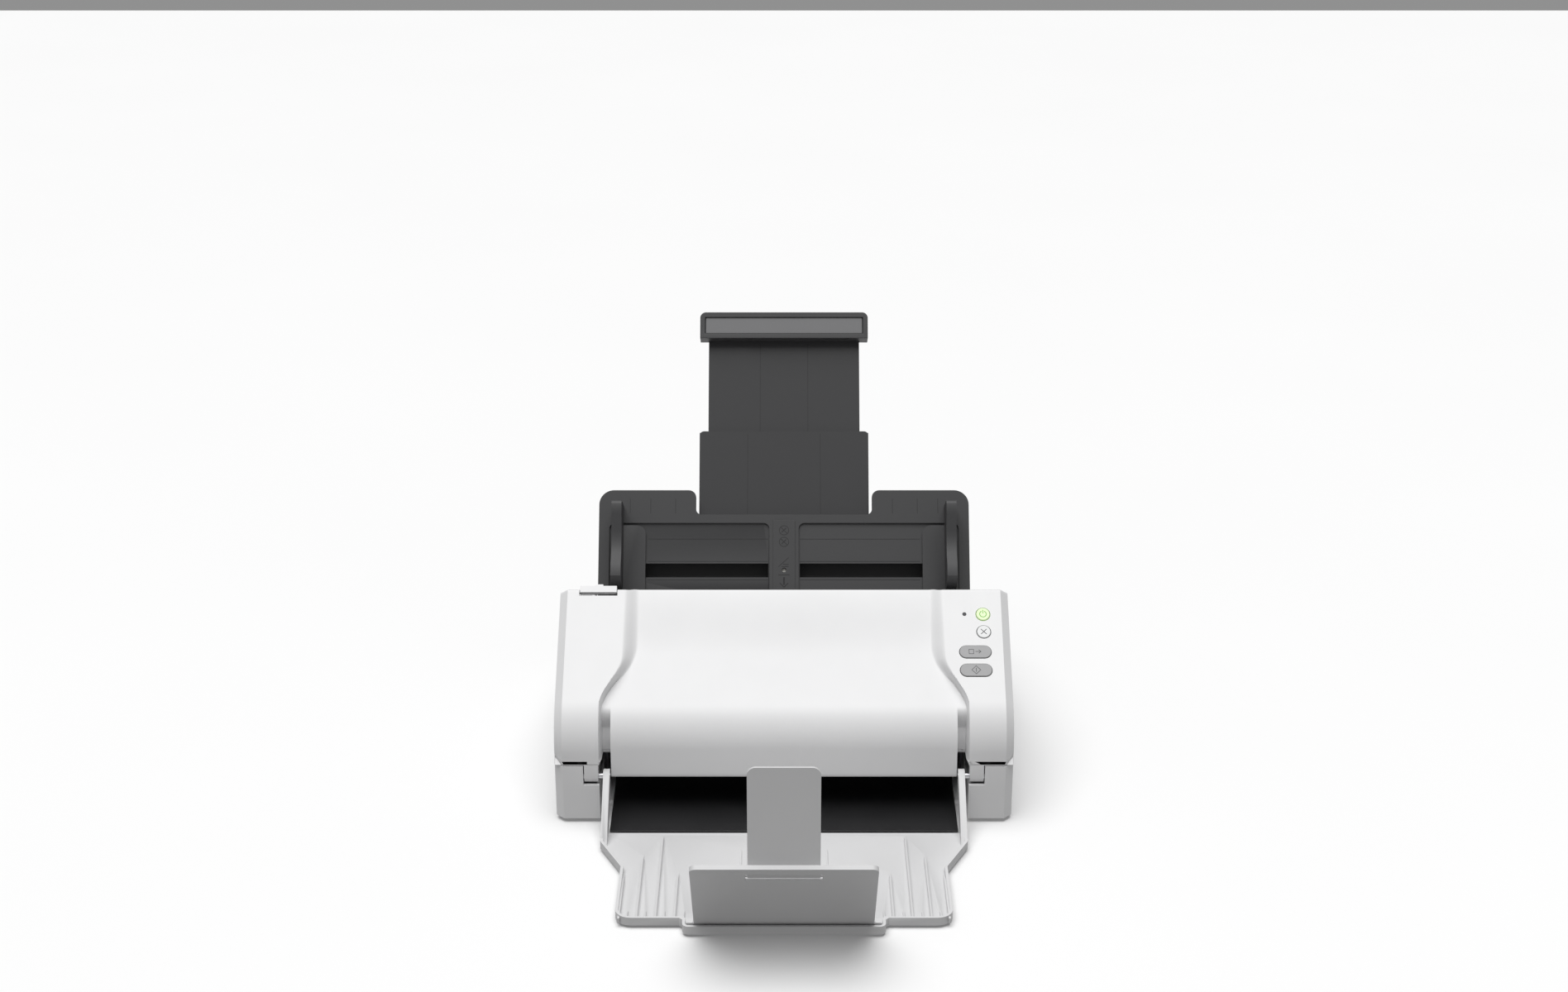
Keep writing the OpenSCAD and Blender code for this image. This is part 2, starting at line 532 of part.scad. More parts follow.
// Right half of the tray's outline, set in by i, from the back to the middle of the lip
function tray_half(i) = concat(
    [[117.8 - i, -20], [117.8 - i, -37 + 0.23 * i], [102.7 - i, -68 + 0.23 * i]],
    arc([92.7, wing_y + 10], 10 - i, 0, -90, 6),
    [[61.4 + 2 - i, wing_y + i], [61.4 - i, wing_y - 2 + i]], arc([57.4, lip_y + 4], 4 - i, 0, -90, 4));
function flip(p) = [for (k = [len(p) - 1:-1:0]) [-p[k][0], p[k][1]]];
module tray_plan(i) polygon(concat(tray_half(i), flip(tray_half(i))));
module arm_side() {
    polygon([pivot + 4.5 * [0.615, -0.789], pivot - 4.5 * [0.615, -0.789], [-34, 7.5], [-38, 2], [-20, 2]]);
    translate(pivot) circle(4.5);
}
module output_tray() color(light) placed() difference() {
    union() {
        translate([0, 0, 2]) linear_extrude(1.6) tray_plan(0);
        difference() {
            translate([0, 0, 2]) linear_extrude(5.5) tray_plan(0);
            translate([0, 0, 1]) linear_extrude(8) tray_plan(1.8);
            box(-113, 113, -25, -10, 0, 9);
        }
        both() across(arm_x[0], arm_x[1]) arm_side();
        // Ribs that the paper slides on
        both() {
            for (r = [[66.4, -67.7], [78, -22], [89.5, -46.5], [100.3, -70]])
                across(r[0] - 0.6, r[0] + 0.6) polygon([[wing_y + 1, 3], [wing_y + 1, 6.4], [r[1] - 12, 6.4], [r[1], 3]]);
            for (x = [60.9, 72.9, 84.4, 95.5])
                across(x - 0.5, x + 0.5) polygon([[wing_y + 1, 3], [wing_y + 1, 5.6], [wing_y + 9, 5.6], [wing_y + 15, 3]]);
            across(26.8, 28) polygon([[-120, 3], [-120, 4.2], [-46, 4.2], [-34, 3]]);
            // Lugs for the paper stop's pins
            box(stop_w / 2 + 0.6, stop_w / 2 + 4.6, stop_at[0] - 2.4, stop_at[0] + 2.4, 3, 8);
        }
    }
    both() bar(pivot, pin_r + fit, 112, 119);
    both() bar(stop_at, 1 + fit, 50, stop_w / 2 + 4);
}
module paper_stop() color(light) placed() {
    on_stop() difference() {
        translate([0, 0, -stop_t / 2]) linear_extrude(stop_t) tombstone(stop_w, 0, stop_l, 4);
        // Pocket for the folded flap, and the window at its hinge
        box(-22.3, 22.3, 3.6, 77, -3, 0.4);
        box(-22.3, 22.3, 73.5, 81, -3, 3);
        both() translate([20, flap_at, 0]) rotate([0, 90, 0]) cylinder(r = 0.8 + fit, h = 4.6);
    }
    bar(stop_at, stop_t / 2, -stop_w / 2, stop_w / 2);
    both() bar(stop_at, 1, stop_w / 2 - 1, stop_w / 2 + 3.8);
}
module stop_flap() color(light) placed() on_stop() translate([0, flap_at, 0]) rotate([90 - stop_lean, 0, 0]) {
    translate([0, 0, -0.1]) linear_extrude(1.5) tombstone(flap_w, 0, flap_l, 5);
    rotate([0, 90, 0]) translate([0, 0, -flap_w / 2]) cylinder(r = 1.3, h = flap_w);
    rotate([0, 90, 0]) translate([0, 0, -24.2]) cylinder(r = 0.8, h = 48.4);
}

base_case();
left_rear_case();
right_rear_case();
back_panel();
rear_hump();
exit_chute();
left_side_frame();
right_side_frame();
scan_frame();
rear_image_sensor();
rear_glass();
main_board();
usb_port();
usb_host_port();
dc_inlet();
hinge_pins();
feet();
case_screws();
drive_motor();
motor_pinion();
idler_gear_a();
idler_gear_b();
feed_shaft();
feed_rollers();
feed_gear();
pick_shaft();
pick_rollers();
pick_gear();
eject_shaft();
eject_rollers();
eject_gear();
front_cover();
cover_frame();
front_image_sensor();
front_glass();
separation_roller();
feed_pinch_rollers();
eject_pinch_rollers();
button_board();
status_led();
power_button();
stop_button();
scan_button();
start_button();
release_lever();
feed_tray();
left_guide();
right_guide();
guide_pinion();
lower_extension();
upper_extension();
extension_grip();
output_tray();
paper_stop();
stop_flap();
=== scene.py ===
import json
from math import atan2, cos, radians, sin
import bmesh
import bpy
from mathutils import Matrix, Vector


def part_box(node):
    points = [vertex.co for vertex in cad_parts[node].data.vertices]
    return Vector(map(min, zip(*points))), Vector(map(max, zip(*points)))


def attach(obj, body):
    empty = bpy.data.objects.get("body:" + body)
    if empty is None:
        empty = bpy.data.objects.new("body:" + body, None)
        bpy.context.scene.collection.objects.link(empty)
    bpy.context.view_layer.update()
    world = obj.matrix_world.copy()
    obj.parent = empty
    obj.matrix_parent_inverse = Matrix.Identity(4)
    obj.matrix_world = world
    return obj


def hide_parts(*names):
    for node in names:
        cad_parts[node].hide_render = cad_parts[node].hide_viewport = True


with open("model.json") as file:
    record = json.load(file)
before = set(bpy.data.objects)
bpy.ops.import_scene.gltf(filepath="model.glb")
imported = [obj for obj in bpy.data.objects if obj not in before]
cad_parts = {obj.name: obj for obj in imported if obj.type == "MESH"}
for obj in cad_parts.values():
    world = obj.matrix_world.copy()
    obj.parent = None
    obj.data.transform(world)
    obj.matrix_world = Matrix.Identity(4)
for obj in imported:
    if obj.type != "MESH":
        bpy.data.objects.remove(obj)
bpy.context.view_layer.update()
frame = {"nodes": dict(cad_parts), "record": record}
nodes = frame["nodes"]

# ---------------------------------------------------------------- table, light and camera
# The scanner stands on a plain pale table in a white room, under a wide soft light from above.
# The axes of the frame are the scanner's own: its flat front is at y = front, its middle at x = 0.
MM = 0.001
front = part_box("base_case")[0][1]
table_size = 6.0

world = bpy.data.worlds.new("white_room")
bpy.context.scene.world = world
world.use_nodes = True
world.node_tree.nodes["Background"].inputs["Color"].default_value = (1, 1, 1, 1)
world.node_tree.nodes["Background"].inputs["Strength"].default_value = 0.28
bpy.context.scene.view_settings.view_transform = "Standard"


overhead = bpy.data.lights.new("overhead_softbox", "SUN")
overhead.energy = 2.55
overhead.angle = radians(55)
softbox = bpy.data.objects.new("overhead_softbox", overhead)
softbox.rotation_euler = (radians(7), radians(-5), 0)
bpy.context.collection.objects.link(softbox)

camera = bpy.data.objects.new("camera", bpy.data.cameras.new("camera"))
camera.data.sensor_width = 36
camera.data.lens = 53.2
camera.location = (0, front - 1.333, 0.764)
camera.rotation_euler = (radians(68.2), 0, 0)
bpy.context.collection.objects.link(camera)
bpy.context.scene.camera = camera


class Wire:
    """A shader socket that takes part in sums, differences and products."""

    def __init__(self, net, socket):
        self.net, self.socket = net, socket

    def sum(self, operation, a, b):
        return self.net.node("ShaderNodeMath", {"operation": operation}, [a, b])

    def __add__(self, other): return self.sum("ADD", self, other)
    def __sub__(self, other): return self.sum("SUBTRACT", self, other)
    def __rsub__(self, other): return self.sum("SUBTRACT", other, self)
    def __mul__(self, other): return self.sum("MULTIPLY", self, other)
    __radd__, __rmul__ = __add__, __mul__


class Finish:
    """A material under construction: a Principled shader and the nodes that feed it."""

    def __init__(self, name, **constants):
        self.material = bpy.data.materials.new(name)
        self.material.use_nodes = True
        self.tree = self.material.node_tree
        self.shader = self.tree.nodes["Principled BSDF"]
        for socket, value in constants.items():
            self.shader.inputs[socket.replace("_", " ")].default_value = value

    def node(self, kind, settings=(), inputs=(), out=0):
        made = self.tree.nodes.new(kind)
        for key, value in dict(settings).items():
            setattr(made, key, value)
        pairs = inputs.items() if isinstance(inputs, dict) else enumerate(inputs)
        for key, value in pairs:
            if isinstance(value, Wire):
                self.tree.links.new(value.socket, made.inputs[key])
            else:
                made.inputs[key].default_value = value
        return Wire(self, made.outputs[out])

    def place(self):
        return self.node("ShaderNodeTexCoord", out="Object")

    def noise(self, scale, detail=2.0):
        return self.node("ShaderNodeTexNoise", {}, {"Vector": self.place(), "Scale": scale, "Detail": detail})

    def feed(self, socket, wire):
        self.tree.links.new(wire.socket, self.shader.inputs[socket])

    def blend(self, factor, a, b):
        return self.node("ShaderNodeMix", {"data_type": "RGBA"}, {0: factor, 6: (*a, 1), 7: (*b, 1)}, out=2)


def moulded(name, colour, roughness, grain=0.00004, grain_scale=2600, shade=0.93):
    """Spark-textured moulded plastic: fine grain, slight flow marks and uneven gloss."""
    finish = Finish(name, IOR=1.5)
    flow = finish.noise(14, 3)
    finish.feed("Base Color", finish.blend(flow, [c * shade for c in colour], colour))
    finish.feed("Roughness", finish.noise(60, 4) * 0.12 + (roughness - 0.06))
    bump = finish.node("ShaderNodeBump", {}, {"Strength": 0.6, "Distance": grain, "Height": finish.noise(grain_scale)})
    finish.feed("Normal", bump)
    return finish.material


floor_mesh = bpy.data.meshes.new("table_top")
half = table_size / 2
floor_mesh.from_pydata([(-half, -half, 0), (half, -half, 0), (half, half, 0), (-half, half, 0)], [], [(0, 1, 2, 3)])
table = bpy.data.objects.new("table_top", floor_mesh)
bpy.context.collection.objects.link(table)
table_finish = Finish("pale_table", Roughness=0.7)
table_finish.feed("Base Color", table_finish.blend(table_finish.noise(3), (0.92, 0.92, 0.92), (0.94, 0.94, 0.94)))
floor_mesh.materials.append(table_finish.material)
table.visible_diffuse = False

# ---------------------------------------------------------------- base casing and rear casings
# White moulded shells: the base tub with its corner posts, and the two rear cheeks that close on it.
# Each shell keeps the frame's shape, and its corners are eased as a mould leaves them.
white = moulded("white_shell", (0.86, 0.86, 0.865), 0.42)


def bake(obj, name=None):
    """The object with its modifiers applied, as a plain mesh of its own."""
    bpy.context.view_layer.update()
    mesh = bpy.data.meshes.new_from_object(obj.evaluated_get(bpy.context.evaluated_depsgraph_get()))
    made = bpy.data.objects.new(name or obj.name, mesh)
    bpy.context.collection.objects.link(made)
    bpy.data.objects.remove(obj)
    return made


def smooth(obj, angle=32):
    obj.data.shade_smooth()
    obj.data.set_sharp_from_angle(angle=radians(angle))


def body_name(node):
    for body, members in frame["record"]["behaviour"]["bodies"].items():
        if node in members:
            return body


def eased(node, material, width=0.4, segments=2):
    """A copy of a CAD node with its sharp edges rounded, which stands for that node."""
    mesh = nodes[node].data.copy()
    tidy = bmesh.new()
    tidy.from_mesh(mesh)
    bmesh.ops.remove_doubles(tidy, verts=tidy.verts, dist=0.00001)
    bmesh.ops.dissolve_limit(tidy, angle_limit=radians(1), verts=tidy.verts, edges=tidy.edges)
    tidy.to_mesh(mesh)
    tidy.free()
    mesh.materials.clear()
    mesh.materials.append(material)
    obj = bpy.data.objects.new(node + "_eased", mesh)
    bpy.context.collection.objects.link(obj)
    bevel = obj.modifiers.new("bevel", "BEVEL")
    bevel.width = width * MM
    bevel.segments = segments
    bevel.limit_method = "ANGLE"
    bevel.angle_limit = radians(40)
    bevel.harden_normals = True
    smooth(obj)
    obj = bake(obj, node + "_moulding")
    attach(obj, body_name(node))
    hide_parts(node)
    return obj


for name in ("base_case", "left_rear_case", "right_rear_case"):
    eased(name, white, 0.8)

# ---------------------------------------------------------------- black mouldings
# The rear hump, louvred back panel, exit chute and scan frame are black, finely textured mouldings. The chute, the
# frames and the inlet take a much darker copy of the black, which paints in the shade that falls inside the machine.
black = moulded("black_plastic", (0.052, 0.052, 0.054), 0.5, grain=0.00006)
# Painted shade: a darker copy of the black plastic, standing for the shadow inside the machine's openings
shaded_black = moulded("inner_plastic", (0.012, 0.012, 0.013), 0.45)
for name in ("rear_hump", "back_panel"):
    eased(name, black, 0.8)
for name in ("exit_chute", "scan_frame", "cover_frame", "dc_inlet"):
    eased(name, shaded_black, 0.3)


def dress(material, *names):
    """A CAD node that keeps its own mesh and takes a finish."""
    for name in names:
        nodes[name].data.materials.clear()
        nodes[name].data.materials.append(material)


# The image sensors take the same painted-shade black
dress(shaded_black, "rear_image_sensor", "front_image_sensor")

# ---------------------------------------------------------------- metalwork
# Zinc-plated side frames, ground shafts and pins, the motor can, sockets and screws.
steel = Finish("brushed_steel", Metallic=1.0)
steel.feed("Base Color", steel.blend(steel.noise(40), (0.52, 0.52, 0.54), (0.66, 0.66, 0.68)))
steel.feed("Roughness", steel.noise(300, 4) * 0.2 + 0.22)
steel_bump = steel.node("ShaderNodeBump", {}, {"Strength": 0.3, "Distance": 0.00003, "Height": steel.noise(900, 5)})
steel.feed("Normal", steel_bump)
dress(steel.material, "left_side_frame", "right_side_frame", "hinge_pins", "case_screws", "drive_motor",
      "motor_pinion", "feed_shaft", "pick_shaft", "eject_shaft")
for name in ("usb_port", "usb_host_port"):
    eased(name, steel.material, 0.15)

# ---------------------------------------------------------------- rubber, gears, glass and boards
# Moulded rubber feet and tyres, acetal gears, the sensors' glass strips and the circuit boards.
rubber = moulded("grey_rubber", (0.045, 0.045, 0.047), 0.75, grain=0.00008, grain_scale=1500)
gear = moulded("acetal", (0.62, 0.61, 0.57), 0.35)
board = moulded("circuit_board", (0.02, 0.1, 0.05), 0.3, grain=0.0001, grain_scale=500, shade=0.7)
glass = Finish("sensor_glass", IOR=1.5, Alpha=0.35)
glass.feed("Base Color", glass.blend(glass.noise(30), (0.5, 0.56, 0.6), (0.6, 0.66, 0.7)))
glass.feed("Roughness", glass.noise(80) * 0.05 + 0.03)
dress(rubber, "feet", "feed_rollers", "pick_rollers", "eject_rollers", "separation_roller",
      "feed_pinch_rollers", "eject_pinch_rollers")
dress(gear, "feed_gear", "pick_gear", "eject_gear", "idler_gear_a", "idler_gear_b", "guide_pinion")
dress(board, "main_board", "button_board")
dress(glass.material, "rear_glass", "front_glass")

# ---------------------------------------------------------------- front cover
# One white moulding: two pods with chamfered outer corners, and a recessed centre between them.
# Its skin follows the side profile, a flat front, a round blend and the sloping face, set in by a
# depth that changes across the width. Solidify gives the wall, and the key holes are cut through it.
face_tilt = radians(38.3)
face_along = Vector((0, cos(face_tilt), sin(face_tilt)))
face_out = Vector((0, -sin(face_tilt), cos(face_tilt)))
top_edge = Vector((0, front + 78.9 * MM, 131.7 * MM))
blend_r, blend_z, face_l = 40.0, 50.0, 81.2
half_w, chamfer_x = 149.5, 144.2
centre_x, pod_low, pod_high = 113.0, 120.4, 106.7
step_low, step_high = 79.0, 101.0
recess = 7.0
cover_wall = 2.0


def ramp(value, low, high):
    t = min(1.0, max(0.0, (value - low) / (high - low)))
    return t * t * (3 - 2 * t)


def pod_edge(z):
    return pod_low - (pod_low - pod_high) * ramp(z, step_low, step_high)


def profile(t, low):
    """Height along the outer profile (mm), its angle, and how far it is up the sloping face."""
    if t < 1:
        return ("flat", low + (blend_z - low) * t, 0)
    if t < 2:
        return ("round", 0, (t - 1) * (90 - 38.3))
    return ("face", 0, (t - 2) * face_l)


def skin_point(x, t, low, depth, more=0.0):
    kind, z, extra = profile(t, low)
    if kind == "flat":
        return depth, z
    turn = radians(180 - (extra if kind == "round" else 51.7))
    r = blend_r - depth
    y, z = blend_r + r * cos(turn), blend_z + r * sin(turn)
    if kind == "face":
        along = extra * (1 + more / face_l)
        y, z = y + along * cos(face_tilt), z + along * sin(face_tilt)
    return y, z


def depth_at(x, t, z):
    """How far the skin lies inside the pods' surface at a distance x from the middle."""
    side = abs(x)
    if side > chamfer_x:
        return side - chamfer_x
    edge = pod_edge(z)
    full = recess - 3.2 * ramp(z, 104, 131)
    soft = 9.0 * ramp(z, 88, 108) + 1.2
    depth = full * ramp(edge - side, 0.0, soft)
    if side > centre_x:
        depth += 11.0 * ramp(edge - side, 0.3, 1.5) * ramp(-z, -80, -66)
    return depth


columns = [0, 30, 60, 80, 90] + [94 + 0.5 * i for i in range(38)] + [113, 113.3]
columns += [113.3 + 0.35 * i for i in range(1, 22)] + [121.2, 122, 124, 128, 134, 140, 143.6, 144.2, 144.8]
columns += [146.5, 148.6, 149.2, 149.5]
columns = sorted(set(round(c, 2) for c in columns))
columns = [-c for c in reversed(columns) if c] + columns
steps = [i / 8 for i in range(8)] + [1 + i / 28 for i in range(28)] + [2 + i / 70 for i in range(71)]
skin = bmesh.new()
grid = []
for x in columns:
    side = abs(x)
    outer = max(0.0, side - chamfer_x)
    low = 29.7 if side <= centre_x else 41.7 + 0.912 * outer
    rows = []
    for t in steps:
        nominal = skin_point(x, t, low, 0)[1]
        depth = depth_at(x, t, nominal)
        more = 1.9 * ramp(depth, 0, 3.8) if side < chamfer_x else 0
        y, z = skin_point(x, t, low, depth, more)
        rows.append((y, z))
    # Round return under the lower edge, and over the top edge down the back
    y0, z0 = rows[0]
    under = 14 if side <= centre_x else 2 - 0.36 * outer
    lip = 1 - 0.18 * outer
    start = [(y0 + under, z0 + (0.8 if under > 2 else 0)), (y0 + 1.2 * lip, z0), (y0 + 0.35 * lip, z0 + 0.3 * lip)]
    y1, z1 = rows[-1]
    rows = start + [(rows[0][0], z0 + 1.2)] + rows[1:-1]
    rows += [(y1 - 0.9, z1 - 0.75), (y1 + 0.1, z1 - 0.1), (y1 + 1.4, z1 - 0.35),
             (y1 + 8 - 0.83 * outer, z1 - 4.6 - 0.21 * outer)]
    if x in (columns[0], columns[-1]):
        # The side wall runs back to the seam
        seam = []
        for i in range(len(rows)):
            f = i / (len(rows) - 1)
            seam.append((5.9 + 80.5 * f, 47.0 + 73.6 * f))
        grid.append((x, rows, seam))
    else:
        grid.append((x, rows, None))
lines = []
for x, rows, seam in grid:
    made = [skin.verts.new((x * MM, front + y * MM, z * MM)) for y, z in rows]
    if seam:
        wall_line = [skin.verts.new((x * MM, front + y * MM, z * MM)) for y, z in seam]
    if seam and x < 0:
        lines += [wall_line, made]
    elif seam:
        lines += [made, wall_line]
    else:
        lines.append(made)
for left, right in zip(lines, lines[1:]):
    for i in range(len(left) - 1):
        skin.faces.new((left[i], right[i], right[i + 1], left[i + 1]))
bmesh.ops.remove_doubles(skin, verts=skin.verts, dist=0.00002)
skin.normal_update()
cover_mesh = bpy.data.meshes.new("front_cover_skin")
skin.to_mesh(cover_mesh)
skin.free()
cover_mesh.materials.append(white)
cover = bpy.data.objects.new("front_cover_skin", cover_mesh)
bpy.context.collection.objects.link(cover)
wall = cover.modifiers.new("wall", "SOLIDIFY")
wall.thickness = cover_wall * MM
wall.offset = -1
cover = bake(cover, "front_cover_skin")
# The wall's border at the seam stays inside the outer surface
for vertex in cover.data.vertices:
    vertex.co.x = max(-half_w * MM, min(half_w * MM, vertex.co.x))
    vertex.co.y = max(front, vertex.co.y)


def on_face(x, down, out=0.0):
    """The frame of a place on the right pod's face: x across, y up the face, z out of it."""
    spot = top_edge - face_along * (down * MM) + face_out * (out * MM)
    turn = Matrix((Vector((1, 0, 0)), face_along, face_out)).transposed()
    return Matrix.Translation(Vector((x * MM, spot.y, spot.z))) @ turn.to_4x4()


def outline_stadium(w, h, n=10):
    r = h / 2
    ends = [((w - h) / 2, -90), (-(w - h) / 2, 90)]
    return [(cx + r * cos(radians(a + 180 * i / n)), r * sin(radians(a + 180 * i / n)))
            for cx, a in ends for i in range(n + 1)]


def prism(name, outline, low, high, place, taper=0.0):
    """A solid of an outline (mm) between two heights, set at a place; its top edge may be drawn in."""
    solid = bmesh.new()
    levels = [(low, 1.0), (high - taper, 1.0), (high, None)] if taper else [(low, 1.0), (high, 1.0)]
    rings = []
    span = max(max(abs(u), abs(v)) for u, v in outline)
    for z, scale in levels:
        k = 1 - taper / span if scale is None else 1
        rings.append([solid.verts.new((u * k * MM, v * k * MM, z * MM)) for u, v in outline])
    solid.faces.new(list(reversed(rings[0])))
    solid.faces.new(rings[-1])
    for a, b in zip(rings, rings[1:]):
        for i in range(len(outline)):
            j = (i + 1) % len(outline)
            solid.faces.new((a[i], a[j], b[j], b[i]))
    bmesh.ops.transform(solid, matrix=place, verts=solid.verts)
    bmesh.ops.recalc_face_normals(solid, faces=solid.faces)
    mesh = bpy.data.meshes.new(name)
    solid.to_mesh(mesh)
    solid.free()
    obj = bpy.data.objects.new(name, mesh)
    bpy.context.collection.objects.link(obj)
    return obj


holes = [(131.9, 18.2, outline_stadium(10, 9.99)), (131.9, 31.2, outline_stadium(10, 9.99)),
         (125.8, 45.9, outline_stadium(21.6, 9.7)), (125.8, 59.2, outline_stadium(21.6, 9.7)),
         (119.6, 18, outline_stadium(2.8, 2.79))]
cutters = [prism("cutter", outline, -5, 3, on_face(x, down)) for x, down, outline in holes]
lever_gap = [(-12.75, -4.2), (12.75, -4.2), (12.75, 6), (-12.75, 6)]
cutters.append(prism("cutter", lever_gap, -3.5, 3, on_face(-123.75, 0)))
for cutter in cutters:
    cut = cover.modifiers.new("cut", "BOOLEAN")
    cut.object = cutter
    cut.operation = "DIFFERENCE"
    cut.solver = "EXACT"
cover = bake(cover, "front_cover_moulding")
for cutter in cutters:
    bpy.data.objects.remove(cutter)
smooth(cover, 38)
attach(cover, "cover")
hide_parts("front_cover")
for side in (-1, 1):
    ear = prism("left_hinge_ear" if side < 0 else "right_hinge_ear",
                [(0.2, 42.5), (0.2, 32.5)] + [(4 - 3.8 * cos(radians(a)), 32.5 - 3.8 * sin(radians(a)))
                                              for a in range(15, 181, 15)] + [(7.8, 42.5)],
                121.0, 130.1, Matrix.Translation((0, front, 0)) @ Matrix(((0, 0, side, 0), (1, 0, 0, 0), (0, 1, 0, 0), (0, 0, 0, 1))))
    ear.data.materials.append(white)
    smooth(ear)
    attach(ear, "cover")
eased("release_lever", white, 0.5)

# ---------------------------------------------------------------- keys and status light
# Four keys and a light in the right pod: satin caps, each with a generic sign printed on it.
grey_key = moulded("grey_key", (0.36, 0.36, 0.365), 0.4)
white_key = moulded("white_key", (0.82, 0.83, 0.83), 0.35)
green_key = moulded("lit_green_key", (0.74, 0.86, 0.55), 0.35)
green_key.node_tree.nodes["Principled BSDF"].inputs["Emission Color"].default_value = (0.6, 0.9, 0.35, 1)
green_key.node_tree.nodes["Principled BSDF"].inputs["Emission Strength"].default_value = 0.15
ink = moulded("sign_ink", (0.045, 0.045, 0.05), 0.5, grain=0.00001)
green_ink = moulded("green_ink", (0.25, 0.55, 0.1), 0.5, grain=0.00001)
eased("scan_button", grey_key, 0.35, 3)
eased("start_button", grey_key, 0.35, 3)
eased("stop_button", white_key, 0.3, 3)
eased("power_button", green_key, 0.3, 3)
dress(ink, "status_led")


def stroke(points, width, closed=False):
    """Outlines of the straight strokes through the points of a sign."""
    made = []
    pairs = list(zip(points, points[1:] + points[:1])) if closed else list(zip(points, points[1:]))
    for (ax, ay), (bx, by) in pairs:
        turn = atan2(by - ay, bx - ax)
        nx, ny = -sin(turn) * width / 2, cos(turn) * width / 2
        ex, ey = cos(turn) * width / 2, sin(turn) * width / 2
        made.append([(ax - ex + nx, ay - ey + ny), (ax - ex - nx, ay - ey - ny), (bx + ex - nx, by + ey - ny), (bx + ex + nx, by + ey + ny)])
    return made


def sign(name, outlines, x, down, height, body, material, place=None):
    """A printed sign: thin ink shapes joined into one piece."""
    join = bmesh.new()
    for k, outline in enumerate(outlines):
        part = prism("ink", outline, height, height + 0.06 + 0.002 * k, place or on_face(x, down))
        join.from_mesh(part.data)
        bpy.data.objects.remove(part)
    mesh = bpy.data.meshes.new(name)
    join.to_mesh(mesh)
    join.free()
    mesh.materials.append(material)
    obj = bpy.data.objects.new(name, mesh)
    bpy.context.collection.objects.link(obj)
    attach(obj, body)
    return obj


def circle_points(r, a0=0, a1=360, n=24):
    return [(r * cos(radians(a0 + (a1 - a0) * i / n)), r * sin(radians(a0 + (a1 - a0) * i / n))) for i in range(n + 1)]


sign("power_sign", stroke(circle_points(2.2, 120, 420, 16), 0.5) + stroke([(0, 0.6), (0, 2.8)], 0.5), 131.9, 18.2, 0.58, "power", green_ink)
sign("stop_sign", stroke([(-1.7, -1.7), (1.7, 1.7)], 0.45) + stroke([(-1.7, 1.7), (1.7, -1.7)], 0.45), 131.9, 31.2, 0.58, "stop_key", ink)
sign("start_sign", stroke([(-2.9, 0), (0, 2.9), (2.9, 0), (0, -2.9)], 0.35, True) + stroke([(0, -1.2), (0, 1.2)], 0.4),
     125.8, 59.2, 0.68, "start_key", ink)
sheet_sign = stroke([(-4.2, -1.6), (-4.2, 1.6), (-1.2, 1.6), (-1.2, -1.6)], 0.32, True)
sheet_sign += stroke([(0.2, 0), (3.4, 0)], 0.32) + stroke([(2.2, 1.2), (3.6, 0), (2.2, -1.2)], 0.32)
sign("scan_sign", sheet_sign, 125.8, 45.9, 0.68, "scan_key", ink)
sign("alert_sign", [[(-0.5, 1.9), (-0.3, -0.5), (0.3, -0.5), (0.5, 1.9)], outline_stadium(0.8, 0.79, 5)],
     119.6, 18.6, 0.02, "cover", ink)

# ---------------------------------------------------------------- feed tray
# Black textured moulding that holds the stack, with its two sliding side guides.
eased("feed_tray", black, 0.5)
eased("left_guide", black, 0.4)
eased("right_guide", black, 0.4)
feed_tilt = radians(57)
feed_along = Vector((0, cos(feed_tilt), sin(feed_tilt)))
feed_out = Vector((0, -sin(feed_tilt), cos(feed_tilt)))
feed_corner = Vector((0, front + 136.3 * MM, 173.2 * MM))
groove = moulded("groove_shadow", (0.018, 0.018, 0.019), 0.6)


def on_feed(x, s, n=0.0):
    spot = feed_corner + feed_along * (s * MM) + feed_out * (n * MM)
    turn = Matrix((Vector((1, 0, 0)), feed_along, feed_out)).transposed()
    return Matrix.Translation(Vector((x * MM, spot.y, spot.z))) @ turn.to_4x4()


marks = []
for side in (-1, 1):
    for x in (74, 91, 105):
        marks += stroke([(side * x, -9), (side * x, 1)], 0.3)
sign("size_ticks", marks, 0, 0, 0.0, "base", groove, on_feed(0, 0))
field = []
for side in (-1, 1):
    for s in (-26.7, -42.2, -54.8, -63.5):
        field += stroke([(side * 11, s), (side * 92.5, s)], 0.35)
sign("field_lines", field, 0, 0, -1.5, "base", groove, on_feed(0, 0))
arrow = stroke([(0, 3), (0, -1)], 1.2) + stroke([(-2.6, -0.6), (0, -3.2), (2.6, -0.6)], 0.6)
sign("feed_arrow", arrow + stroke([(-3.6, 5.2), (3.6, 5.2)], 0.4), 0, 0, 0.6, "base", groove, on_feed(0, -57))
stack = stroke([(-3.6, -3), (3, 3)], 0.4) + stroke([(-1.5, -3), (3, -3)], 0.4) + stroke([(-0.4, -1.5), (3, -1.5)], 0.4)
sign("stack_sign", stack, 0, 0, 0.6, "base", groove, on_feed(0, -43))
for k, s in enumerate((-21, -29)):
    ring = stroke(circle_points(3.2), 0.35) + stroke([(-2.2, 2.2), (2.2, -2.2)], 0.35) + stroke([(-1.4, -1.2), (0.2, 0.4), (1.2, 1.4)], 0.5)
    sign("no_clip_sign_%d" % (k + 1), ring, 0, 0, 0.6, "base", groove, on_feed(0, s))
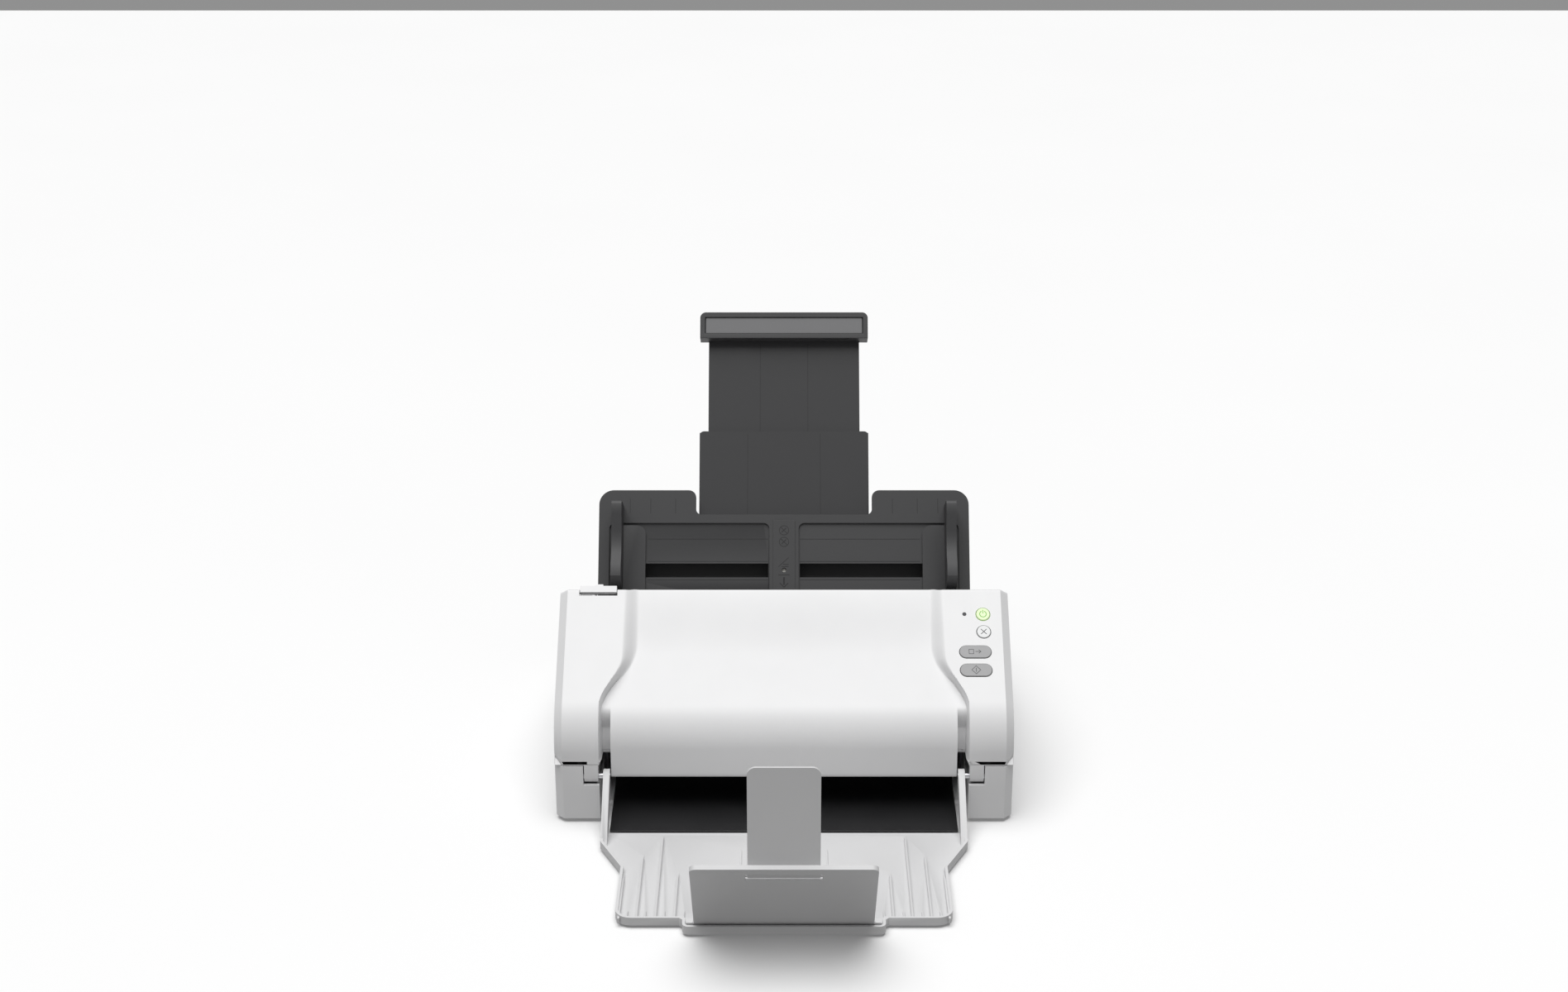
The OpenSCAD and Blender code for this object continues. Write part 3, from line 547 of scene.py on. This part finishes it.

# ---------------------------------------------------------------- extension
# Two black plates that slide out from behind the tray, with a black grip along the top. The insert in the grip's
# recess is a lighter grey, which paints the light on the recess's upward-facing floor.
plate = moulded("extension_plate", (0.036, 0.036, 0.038), 0.48, grain=0.00006)
# Painted highlight: this grey stands for light falling on the upward-facing floor of the grip recess
grip_highlight_grey = moulded("grip_highlight_grey", (0.2, 0.2, 0.205), 0.5)
eased("lower_extension", plate, 0.4)
eased("upper_extension", plate, 0.4)
eased("extension_grip", black, 0.7, 3)
sign("lower_lines", stroke([(-25, -8), (-25, 48)], 0.3) + stroke([(25, -8), (25, 48)], 0.3), 0, 0, -7.3, "lower_ext", groove, on_feed(0, 0))
sign("upper_lines", stroke([(-16.5, 45), (-16.5, 113)], 0.3) + stroke([(16.5, 45), (16.5, 113)], 0.3), 0, 0, -10.4, "upper_ext", groove, on_feed(0, 0))
# The insert is the floor of the grip recess, and its lighter grey is a painted highlight
insert = prism("grip_insert", [(-54.3, -5.4), (54.3, -5.4), (54.3, 5.4), (-54.3, 5.4)], -3.2, -2.4, on_feed(0, 124.2), 0.3)
insert.data.materials.append(grip_highlight_grey)
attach(insert, "upper_ext")

# ---------------------------------------------------------------- output tray, paper stop and flap
# Light grey mouldings: the ribbed tray with its two arms, the leaning stop and the upright flap.
tray_grey = moulded("tray_plastic", (0.7, 0.7, 0.705), 0.45)
eased("output_tray", tray_grey, 0.35)
eased("paper_stop", tray_grey, 0.4)
eased("stop_flap", tray_grey, 0.45)


def knuckle_row():
    """Geometry nodes for a row of hinge knuckles along X, centred on a place."""
    tree = bpy.data.node_groups.new("knuckle_row", "GeometryNodeTree")
    made = {}
    for label, kind in (("Count", "NodeSocketInt"), ("Spacing", "NodeSocketFloat"), ("Radius", "NodeSocketFloat"),
                        ("Width", "NodeSocketFloat"), ("Place", "NodeSocketVector"), ("Finish", "NodeSocketMaterial")):
        made[label] = tree.interface.new_socket(name=label, in_out="INPUT", socket_type=kind).identifier
    tree.interface.new_socket(name="Geometry", in_out="OUTPUT", socket_type="NodeSocketGeometry")
    given = tree.nodes.new("NodeGroupInput").outputs

    def step(kind, links, **settings):
        node = tree.nodes.new(kind)
        for key, value in settings.items():
            setattr(node, key, value)
        for key, value in links.items():
            if isinstance(value, bpy.types.NodeSocket):
                tree.links.new(value, node.inputs[key])
            else:
                node.inputs[key].default_value = value
        return node.outputs

    last = step("ShaderNodeMath", {0: given["Count"], 1: 1.0}, operation="SUBTRACT")[0]
    reach = step("ShaderNodeMath", {0: last, 1: given["Spacing"]}, operation="MULTIPLY")[0]
    back = step("ShaderNodeMath", {0: reach, 1: -0.5}, operation="MULTIPLY")[0]
    shift = step("ShaderNodeCombineXYZ", {"X": back})[0]
    start = step("ShaderNodeVectorMath", {0: given["Place"], 1: shift}, operation="ADD")[0]
    pitch = step("ShaderNodeCombineXYZ", {"X": given["Spacing"]})[0]
    row = step("GeometryNodeMeshLine", {"Count": given["Count"], "Start Location": start, "Offset": pitch})["Mesh"]
    roll = step("GeometryNodeMeshCylinder", {"Vertices": 28, "Radius": given["Radius"], "Depth": given["Width"]})["Mesh"]
    placed = step("GeometryNodeInstanceOnPoints", {"Points": row, "Instance": roll, "Rotation": (0, radians(90), 0)})
    real = step("GeometryNodeRealizeInstances", {"Geometry": placed["Instances"]})["Geometry"]
    done = step("GeometryNodeSetMaterial", {"Geometry": real, "Material": given["Finish"]})["Geometry"]
    tree.links.new(done, tree.nodes.new("NodeGroupOutput").inputs[0])
    return tree, made


row_tree, row_inputs = knuckle_row()
for name, count, spacing, radius, width in (("stop_knuckles", 12, 9.1, 1.85, 4.2), ("stop_large_knuckles", 3, 45.5, 2.1, 7.5)):
    knuckles = bpy.data.objects.new(name, bpy.data.meshes.new(name))
    bpy.context.collection.objects.link(knuckles)
    grow = knuckles.modifiers.new("row", "NODES")
    grow.node_group = row_tree
    place = (0, front - 132 * MM, 5.9 * MM)
    for label, value in (("Count", count), ("Spacing", spacing * MM), ("Radius", radius * MM),
                         ("Width", width * MM), ("Place", place), ("Finish", tray_grey)):
        grow[row_inputs[label]] = value
    knuckles = bake(knuckles, name + "_made")
    smooth(knuckles)
    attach(knuckles, "stop")
